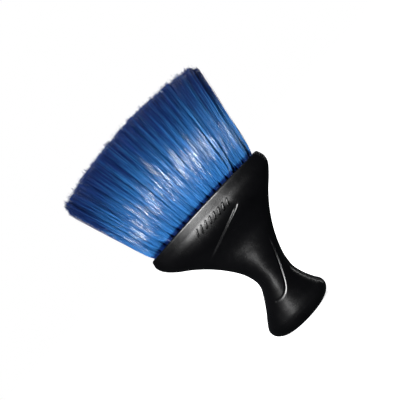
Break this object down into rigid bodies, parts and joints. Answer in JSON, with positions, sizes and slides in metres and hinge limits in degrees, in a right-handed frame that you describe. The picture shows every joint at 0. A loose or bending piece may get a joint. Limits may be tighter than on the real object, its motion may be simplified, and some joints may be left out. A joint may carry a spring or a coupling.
{
  "type": "neck duster brush",
  "caption": "Stand-up neck duster brush: a fan of soft blue nylon tufts in a black two-shell handle with a broad head, a narrow neck and a flared foot with a flat underside.",
  "frame": {"origin": "on the base plane that the foot rests on, under the middle of the bristle fan", "axes": "+Z from the foot up to the bristle tips, +X across the width, and the front of the handle faces -Y"},
  "size_m": [0.1242, 0.034, 0.1698],
  "materials": {
    "handle": "satin",
    "block": "matte",
    "bristle": "satin",
    "anchor_wire": "satin"
  },
  "bodies": {
    "root": {"front_shell": "handle", "rear_shell": "handle", "tuft_block": "block", "tuft_row_1": "bristle", "tuft_row_2": "bristle", "tuft_row_3": "bristle", "tuft_row_4": "bristle", "tuft_row_5": "bristle", "anchor_row_1": "anchor_wire", "anchor_row_2": "anchor_wire", "anchor_row_3": "anchor_wire", "anchor_row_4": "anchor_wire", "anchor_row_5": "anchor_wire"}
  },
  "joints": []
}
